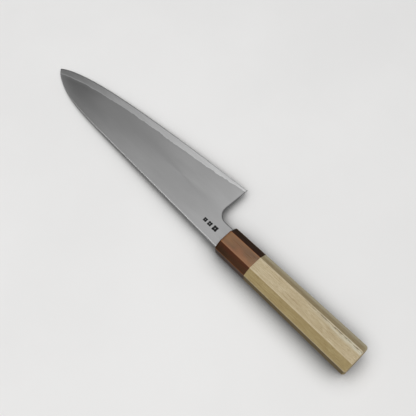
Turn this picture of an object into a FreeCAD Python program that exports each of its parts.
import FreeCAD, Part
import math
import os

import Sketcher

# A chef knife with a three-layer blade, a horn ferrule and an octagonal wooden handle, lying on its side.
# The origin is the centre of the handle's butt face. +X runs along the handle to the tip, +Y points to the
# spine, so the cutting edge faces -Y, and +Z is the blade's right side. All sizes are in millimetres.

SIZES = {
    # Handle and ferrule: an octagon that tapers evenly from the butt to the nose.
    "handle_length": 133.0,
    "ferrule_length": 32.0,
    "butt_height": 26.0,
    "butt_thickness": 20.0,
    "butt_side_flat": 12.2,
    "butt_edge_flat": 9.6,
    "nose_scale": 0.91,
    "facet_round": 0.6,
    "butt_bevel": 1.3,
    "nose_bevel": 0.9,
    # Joinery inside the handle.
    "dowel_diameter": 14.0,
    "dowel_start": 75.0,
    "dowel_end": 125.0,
    "bore_diameter": 10.4,
    "bore_start": 40.0,
    "slot_height": 10.8,
    "slot_width": 3.6,
    "seal_gap": 0.3,
    "seal_depth": 2.0,
    "seal_width": 2.6,
    # Blade outline: a straight spine that drops to the tip, a bellied edge, a choil and a short neck.
    "spine_start": 9.6,
    "spine_end": 4.98,
    "spine_end_at": 305.0,
    "drop_start": 5.66,
    "drop_start_at": 280.0,
    "drop_upper": 2.4,
    "drop_upper_at": 328.0,
    "drop_middle": -3.5,
    "drop_middle_at": 343.5,
    "drop_lower": -7.9,
    "drop_lower_at": 353.0,
    "tip": -11.9,
    "tip_at": 356.0,
    "belly_lower": -15.4,
    "belly_lower_at": 352.0,
    "belly_middle": -21.9,
    "belly_middle_at": 335.0,
    "belly_upper": -28.8,
    "belly_upper_at": 300.0,
    "edge_front": -35.0,
    "edge_front_at": 250.0,
    "edge_rear": -40.0,
    "edge_rear_at": 195.0,
    "heel": -43.0,
    "heel_at": 151.0,
    "choil_at": 152.1,
    "choil_radius": 9.0,
    "neck_line": -10.2,
    # Tang, hidden in the handle.
    "tang_height": 10.0,
    "tang_end_height": 6.0,
    "tang_end_at": 46.0,
    "tang_thickness": 2.1,
    "tang_end_thickness": 1.5,
    # Blade thickness at stations along it, at the spine and at the edge: a wedge that thins towards the tip.
    "blank_thickness": 6.0,
    "trim_margin": 3.0,
    "rear_spine": 3.1,
    "rear_edge": 0.28,
    "mid_at": 235.0,
    "mid_spine": 2.1,
    "mid_edge": 0.12,
    "mid_edge_line": -36.4,
    "front_at": 310.0,
    "front_spine": 1.5,
    "front_edge": 0.12,
    "front_edge_line": -27.0,
    "point_at": 358.0,
    "point_spine": 0.9,
    "point_edge": 0.16,
    "point_edge_line": -11.0,
    # Cutting bevel, and the hard core between the two cladding layers.
    "bevel_height": 0.8,
    "bevel_depth": 0.09,
    "core_thickness": 0.5,
}


# How many handle heights wide the blocks are that cut other shapes.
BLOCK_WIDTHS = 4
# Two positions closer than this are the same one, in millimetres.
TOUCH = 0.01
# What tells the cutting edges from the blade's other edges, in millimetres: how long each one is at least,
# and how far from the blade's middle plane it lies at most.
CUTTING_LENGTH = 30.0
CUTTING_OFFSET = 0.5


class Term:
    """A number together with the sheet expression that gives it."""

    def __init__(self, number, text):
        self.number = number
        self.text = text

    def __add__(self, other):
        other = as_term(other)
        return Term(self.number + other.number, f"({self.text} + {other.text})")

    def __sub__(self, other):
        other = as_term(other)
        return Term(self.number - other.number, f"({self.text} - {other.text})")

    def __mul__(self, other):
        other = as_term(other)
        return Term(self.number * other.number, f"({self.text} * {other.text})")

    def __truediv__(self, other):
        other = as_term(other)
        return Term(self.number / other.number, f"({self.text} / {other.text})")

    def __neg__(self):
        return Term(-self.number, f"(0 - {self.text})")


def as_term(value):
    """A Term as it is, and a plain number as a Term of its own."""
    if isinstance(value, Term):
        return value
    return Term(float(value), f"({value})")


def root(term):
    """The square root of a Term."""
    return Term(math.sqrt(term.number), f"sqrt({term.text})")


def slope_angle(rise, run):
    """The slope of a rise over a run, in degrees."""
    return Term(math.degrees(math.atan(rise.number / run.number)), f"atan({rise.text} / {run.text})")


def make_sheet():
    """The spreadsheet that holds every driving dimension, one alias a row."""
    sheet = doc.addObject("Spreadsheet::Sheet", "sizes")
    for row, (alias, value) in enumerate(SIZES.items(), start=1):
        sheet.set(f"A{row}", alias)
        sheet.set(f"B{row}", str(value))
        sheet.setAlias(f"B{row}", alias)
    doc.recompute()
    return sheet


def size(alias):
    """One driving dimension, read from the sheet."""
    return Term(float(sheet.get(alias)), f"sizes.{alias}")


def bind(target, name, term):
    """Drive a property of an object by a sheet expression."""
    target.setExpression(name, as_term(term).text)


def make_body(label):
    """A named PartDesign body."""
    body = doc.addObject("PartDesign::Body", label)
    body.Label = label
    return body


def make_sketch(body, name, role, offset=None):
    """A sketch on one of the body's origin planes, moved along the plane's normal by offset."""
    plane = next(feature for feature in body.Origin.OriginFeatures if feature.Role == role)
    sketch = body.newObject("Sketcher::SketchObject", name)
    sketch.AttachmentSupport = [(plane, "")]
    sketch.MapMode = "FlatFace"
    if offset is not None:
        bind(sketch, "AttachmentOffset.Base.z", offset)
    return sketch


def pin(sketch, geometry, position, point):
    """Dimension a sketch point from the sketch's origin in both directions."""
    for kind, term in (("DistanceX", point[0]), ("DistanceY", point[1])):
        rule = Sketcher.Constraint(kind, -1, 1, geometry, position, term.number)
        name = f"{kind}_{geometry}_{position}"
        sketch.renameConstraint(sketch.addConstraint(rule), name)
        bind(sketch, f"Constraints.{name}", term)


def vector(point):
    """A sketch point as a vector."""
    return FreeCAD.Vector(point[0].number, point[1].number, 0)


def draw_line(sketch, start, end):
    """A straight line between two points, not yet dimensioned."""
    return sketch.addGeometry(Part.LineSegment(vector(start), vector(end)), False)


def draw_spline(sketch, poles, after=None):
    """A cubic B-spline whose control points are dimensioned from the sheet.

    With after, the curve starts where that earlier spline ends, so its first point needs no dimension.
    """
    curve = Part.BSplineCurve([vector(pole) for pole in poles], None, None, False, 3, None, False)
    spline = sketch.addGeometry(curve, False)
    sketch.exposeInternalGeometry(spline)
    if after is not None:
        join(sketch, after, spline)
    for number, pole in enumerate(poles, start=1):
        if number > 1 or after is None:
            pin(sketch, spline + number, 3, pole)
    return spline


def join(sketch, first, second):
    """Make the end of one sketch curve meet the start of the next."""
    sketch.addConstraint(Sketcher.Constraint("Coincident", first, 2, second, 1))


def draw_polygon(sketch, corners):
    """A closed polygon with every corner dimensioned from the sheet."""
    following = corners[1:] + corners[:1]
    lines = [draw_line(sketch, start, end) for start, end in zip(corners, following)]
    for line, after in zip(lines, lines[1:] + lines[:1]):
        join(sketch, line, after)
    for line, corner in zip(lines, corners):
        pin(sketch, line, 1, corner)


def make_pad(body, name, sketch, length):
    """A pad that grows to both sides of its sketch."""
    pad = body.newObject("PartDesign::Pad", name)
    pad.Profile = sketch
    pad.SideType = "Symmetric"
    bind(pad, "Length", length)
    return pad


def make_loft(body, name, sketches):
    """A smooth loft through the sketches in order."""
    loft = body.newObject("PartDesign::AdditiveLoft", name)
    loft.Profile = sketches[0]
    loft.Sections = sketches[1:]
    return loft


def dress_edges(body, kind, name, base, amount, wanted):
    """Fillet or chamfer those edges of a body's feature that the test picks."""
    doc.recompute()
    names = [f"Edge{n}" for n, edge in enumerate(base.Shape.Edges, start=1) if wanted(edge)]
    dressed = body.newObject(f"PartDesign::{kind}", name)
    dressed.Base = (base, names)
    bind(dressed, "Radius" if kind == "Fillet" else "Size", amount)
    return dressed


def make_cylinder(name, diameter, start, end):
    """A cylinder along the handle axis."""
    cylinder = doc.addObject("Part::Cylinder", name)
    cylinder.Placement.Rotation = FreeCAD.Rotation(FreeCAD.Vector(0, 1, 0), 90)
    bind(cylinder, "Radius", diameter / 2)
    bind(cylinder, "Height", end - start)
    bind(cylinder, "Placement.Base.x", start)
    return cylinder


def make_box(name, start, end, height, width):
    """A box centred on the handle axis between two stations along it."""
    box = doc.addObject("Part::Box", name)
    bind(box, "Length", end - start)
    bind(box, "Width", height)
    bind(box, "Height", width)
    bind(box, "Placement.Base.x", start)
    bind(box, "Placement.Base.y", -height / 2)
    bind(box, "Placement.Base.z", -width / 2)
    return box


def cut(name, base, tool):
    """The base shape with the tool's shape taken away."""
    result = doc.addObject("Part::Cut", name)
    result.Base = base
    result.Tool = tool
    return result


def fuse(name, shapes):
    """One solid from several that touch or overlap."""
    result = doc.addObject("Part::MultiFuse", name)
    result.Shapes = shapes
    result.Refine = True
    return result


def common(name, shapes):
    """What several shapes share."""
    result = doc.addObject("Part::MultiCommon", name)
    result.Shapes = shapes
    return result


# Handle and ferrule


def make_slab(name, turn, half_distance):
    """A wide block whose two narrow sides are opposite facets, which lean in towards the nose."""
    body = make_body(name)
    sketch = make_sketch(body, f"{name}_outline", "XY_Plane")
    butt = as_term(0)
    nose = size("handle_length")
    at_nose = half_distance * size("nose_scale")
    draw_polygon(sketch, [(butt, -half_distance), (nose, -at_nose), (nose, at_nose), (butt, half_distance)])
    make_pad(body, f"{name}_block", sketch, size("butt_height") * BLOCK_WIDTHS)
    body.Placement.Rotation = FreeCAD.Rotation(FreeCAD.Vector(1, 0, 0), turn.number)
    bind(body, "Placement.Rotation.Angle", turn)
    return body


def make_octagon():
    """The tapering octagon of handle and ferrule together, with both ends bevelled and every edge eased."""
    half_height = size("butt_height") / 2
    half_thickness = size("butt_thickness") / 2
    half_edge_flat = size("butt_edge_flat") / 2
    rise = half_thickness - half_edge_flat
    run = half_height - size("butt_side_flat") / 2
    corner_turn = slope_angle(run, rise)
    corner_distance = (half_height * rise + half_edge_flat * run) / root(rise * rise + run * run)
    slabs = [
        make_slab("edge_facets", as_term(0), half_height),
        make_slab("side_facets", as_term(90), half_thickness),
        make_slab("right_corner_facets", corner_turn, corner_distance),
        make_slab("left_corner_facets", corner_turn * -1, corner_distance),
    ]
    facets = common("octagon_facets", slabs)
    doc.recompute()
    at_butt = lies_at(as_term(0))
    at_nose = lies_at(size("handle_length"))
    body = make_body("octagon")
    body.BaseFeature = facets
    butt = dress_edges(body, "Chamfer", "butt_bevelled", body.Group[0], size("butt_bevel"), at_butt)
    nose = dress_edges(body, "Chamfer", "nose_bevelled", butt, size("nose_bevel"), at_nose)
    dress_edges(body, "Fillet", "octagon_eased", nose, size("facet_round"), lambda edge: True)
    return body


def lies_at(station):
    """A test that picks the edges at one station along the handle."""
    return lambda edge: all(abs(vertex.X - station.number) < TOUCH for vertex in edge.Vertexes)


def make_handle(octagon, joint, dowel_bore, tang_bore):
    """The pale wooden handle: the rear of the octagon with blind bores for dowel and tang."""
    reach = size("butt_height") * BLOCK_WIDTHS
    rear = common("handle_blank", [octagon, make_box("rear_half", as_term(0), joint, reach, reach)])
    return cut("handle_body", rear, fuse("handle_bores", [dowel_bore, tang_bore]))


def make_ferrule(octagon, joint, dowel_bore, slot):
    """The horn ferrule: the front of the octagon with a dowel bore and a slot for the tang."""
    reach = size("butt_height") * BLOCK_WIDTHS
    nose = size("handle_length")
    front = common("ferrule_blank", [octagon, make_box("front_half", joint, nose, reach, reach)])
    return cut("ferrule", front, fuse("ferrule_openings", [dowel_bore, slot]))


# Blade


def spine_at(station):
    """Height of the straight spine line, carried on past the point where the tip drops away."""
    run = size("drop_start_at") - size("handle_length")
    slope = (size("drop_start") - size("spine_start")) / run
    return size("spine_start") + slope * (station - size("handle_length"))


def make_outline():
    """A plate with the outline of blade, neck and tang."""
    body = make_body("blade_blank")
    sketch = make_sketch(body, "blade_outline", "XY_Plane")
    shoulder_at = size("handle_length") + size("seal_gap")
    half_tang = size("tang_height") / 2
    half_end = size("tang_end_height") / 2
    shoulder_top = (shoulder_at, size("spine_start"))
    drop_start = (size("drop_start_at"), size("drop_start"))
    tip = (size("tip_at"), size("tip"))
    drop = [
        drop_start,
        (size("spine_end_at"), size("spine_end")),
        (size("drop_upper_at"), size("drop_upper")),
        (size("drop_middle_at"), size("drop_middle")),
        (size("drop_lower_at"), size("drop_lower")),
        tip,
    ]
    heel = (size("heel_at"), size("heel"))
    edge = [
        tip,
        (size("belly_lower_at"), size("belly_lower")),
        (size("belly_middle_at"), size("belly_middle")),
        (size("belly_upper_at"), size("belly_upper")),
        (size("edge_front_at"), size("edge_front")),
        (size("edge_rear_at"), size("edge_rear")),
        heel,
    ]
    choil_top = (size("choil_at"), size("neck_line") - size("choil_radius"))
    neck_front = (size("choil_at") - size("choil_radius"), size("neck_line"))
    choil_centre = (neck_front[0], choil_top[1])
    shoulder_bottom = (shoulder_at, size("neck_line"))
    tang_bottom = (shoulder_at, -half_tang)
    end_bottom = (size("tang_end_at"), -half_end)
    end_top = (size("tang_end_at"), half_end)
    tang_top = (shoulder_at, half_tang)

    spine_line = draw_line(sketch, shoulder_top, drop_start)
    drop_curve = draw_spline(sketch, drop)
    edge_curve = draw_spline(sketch, edge, after=drop_curve)
    choil_line = draw_line(sketch, heel, choil_top)
    circle = Part.Circle(vector(choil_centre), FreeCAD.Vector(0, 0, 1), size("choil_radius").number)
    choil_arc = sketch.addGeometry(Part.ArcOfCircle(circle, 0, math.pi / 2), False)
    neck_line = draw_line(sketch, neck_front, shoulder_bottom)
    straight = [shoulder_bottom, tang_bottom, end_bottom, end_top, tang_top, shoulder_top]
    tang_lines = [draw_line(sketch, start, end) for start, end in zip(straight, straight[1:])]

    join(sketch, spine_line, drop_curve)
    join(sketch, edge_curve, choil_line)
    join(sketch, choil_line, choil_arc)
    join(sketch, choil_arc, neck_line)
    pin(sketch, choil_arc, 3, choil_centre)
    pin(sketch, choil_arc, 1, choil_top)
    sketch.addConstraint(Sketcher.Constraint("Vertical", choil_arc, 2, choil_arc, 3))
    chain = [neck_line] + tang_lines + [spine_line]
    for line, after in zip(chain, chain[1:]):
        join(sketch, line, after)
    for line, corner in zip(tang_lines + [spine_line], straight):
        pin(sketch, line, 1, corner)
    make_pad(body, "blade_plate", sketch, size("blank_thickness"))
    return body


def edge_at(station):
    """Height of the straight edge line through the heel, carried on towards the handle."""
    slope = (size("edge_rear") - size("heel")) / (size("edge_rear_at") - size("heel_at"))
    return size("heel") + slope * (station - size("heel_at"))


def wedge_section(body, name, station, edge_line, spine_thickness, edge_thickness):
    """A section across the blade, drawn past its outline on both sides so that the outline trims it."""
    margin = size("trim_margin")
    top = spine_at(station) + margin
    bottom = edge_line - margin
    half_spine = spine_thickness / 2
    half_edge = edge_thickness / 2
    sketch = make_sketch(body, name, "YZ_Plane", station)
    corners = [(top, half_spine), (bottom, half_edge), (bottom, -half_edge), (top, -half_spine)]
    draw_polygon(sketch, corners)
    return sketch


def make_wedge():
    """The thickness of the ground blade: sections that narrow from spine to edge, lofted to the tip."""
    body = make_body("blade_wedge")
    rear = size("handle_length")
    stations = [
        ("rear", rear, edge_at(rear)),
        ("mid", size("mid_at"), size("mid_edge_line")),
        ("front", size("front_at"), size("front_edge_line")),
        ("point", size("point_at"), size("point_edge_line")),
    ]
    sketches = []
    for name, station, edge_line in stations:
        thickness = (size(f"{name}_spine"), size(f"{name}_edge"))
        sketches.append(wedge_section(body, f"wedge_{name}", station, edge_line, *thickness))
    make_loft(body, "wedge_loft", sketches)
    return body


def make_tang():
    """The thickness of the tang, seen from the spine: a plate that thins towards its end."""
    body = make_body("tang_plate")
    sketch = make_sketch(body, "tang_profile", "XZ_Plane")
    margin = size("trim_margin")
    rear = size("tang_end_at") - margin
    front = size("handle_length") + margin
    half_rear = size("tang_end_thickness") / 2
    half_front = size("tang_thickness") / 2
    draw_polygon(sketch, [(rear, half_rear), (front, half_front), (front, -half_front), (rear, -half_rear)])
    make_pad(body, "tang_pad", sketch, size("tang_height") + margin)
    return body


def grind_bevel(blade):
    """The blade with a fine cutting bevel on both sides of its edge."""
    doc.recompute()
    top = size("tip").number + TOUCH

    def is_cutting_edge(edge):
        is_low = all(vertex.Y < top and abs(vertex.Z) < CUTTING_OFFSET for vertex in edge.Vertexes)
        return is_low and edge.Length > CUTTING_LENGTH

    depths = (size("bevel_height").number, size("bevel_depth").number)
    numbers = [n for n, edge in enumerate(blade.Shape.Edges, start=1) if is_cutting_edge(edge)]
    ground = doc.addObject("Part::Chamfer", "blade_ground")
    ground.Base = blade
    ground.Edges = [(number, *depths) for number in numbers]
    return ground


def make_layers(blade):
    """The blade's three layers: a hard core sheet and the softer cladding on each side of it."""
    far = size("tip_at") + size("trim_margin")
    tall = size("butt_height") * BLOCK_WIDTHS
    core = size("core_thickness")
    outer = size("blank_thickness")
    origin = as_term(0)
    core_sheet = make_box("core_sheet", origin, far, tall, core)
    layers = [common("core_steel", [blade, core_sheet])]
    for label, bottom in (("cladding_right", core / 2), ("cladding_left", -core / 2 - outer)):
        side = make_box(f"{label}_side", origin, far, tall, outer)
        bind(side, "Placement.Base.z", bottom)
        layers.append(common(label, [blade, side]))
    return layers


# Joinery


def make_bedding(tang_bore, blade):
    """The adhesive that fills the bore and the slot around the tang."""
    front = size("handle_length") - size("seal_depth")
    slot = make_box("bedding_slot", size("dowel_start"), front, size("slot_height"), size("slot_width"))
    return cut("tang_bedding", fuse("bedding_fill", [tang_bore, slot]), blade)


def make_seal(blade):
    """The wax seal: a plug in the mouth of the slot and a thin film under the blade's shoulders."""
    mouth = size("handle_length")
    plug = make_box("seal_plug", mouth - size("seal_depth"), mouth, size("slot_height"), size("slot_width"))
    height = size("spine_start") - size("neck_line")
    film = make_box("seal_film", mouth, mouth + size("seal_gap"), height, size("seal_width"))
    bind(film, "Placement.Base.y", size("neck_line"))
    return cut("mouth_seal", fuse("seal_fill", [plug, film]), blade)


def make_knife():
    """Every sub-part of the knife."""
    joint = size("handle_length") - size("ferrule_length")
    dowel = make_cylinder("dowel_blank", size("dowel_diameter"), size("dowel_start"), size("dowel_end"))
    tang_bore = make_cylinder("tang_bore", size("bore_diameter"), size("bore_start"), size("dowel_start"))
    slot_size = (size("slot_height"), size("slot_width"))
    slot = make_box("tang_slot", size("dowel_start"), size("handle_length"), *slot_size)
    octagon = make_octagon()
    thickness = fuse("blade_thickness", [make_wedge(), make_tang()])
    blade = grind_bevel(common("blade_form", [make_outline(), thickness]))
    return make_layers(blade) + [
        make_handle(octagon, joint, dowel, tang_bore),
        make_ferrule(octagon, joint, dowel, slot),
        cut("ferrule_dowel", dowel, slot),
        make_bedding(tang_bore, blade),
        make_seal(blade),
    ]


def check(parts):
    """Stop with a plain message if any object failed or any sub-part isn't one sound solid."""
    for item in doc.Objects:
        if {"Invalid", "Error"} & set(item.State):
            raise RuntimeError(f"{item.Name} did not compute: {item.State}")
    for part in parts:
        shape = part.Shape
        if shape.isNull() or not shape.isValid() or len(shape.Solids) != 1:
            raise RuntimeError(f"{part.Label} isn't one valid solid")


def export(parts):
    """One STEP file a sub-part, named by its label."""
    os.makedirs("parts", exist_ok=True)
    for part in parts:
        part.Shape.exportStep(f"parts/{part.Label}.step")


doc = FreeCAD.newDocument("chef_knife")
sheet = make_sheet()
knife = make_knife()
doc.recompute()
check(knife)
export(knife)
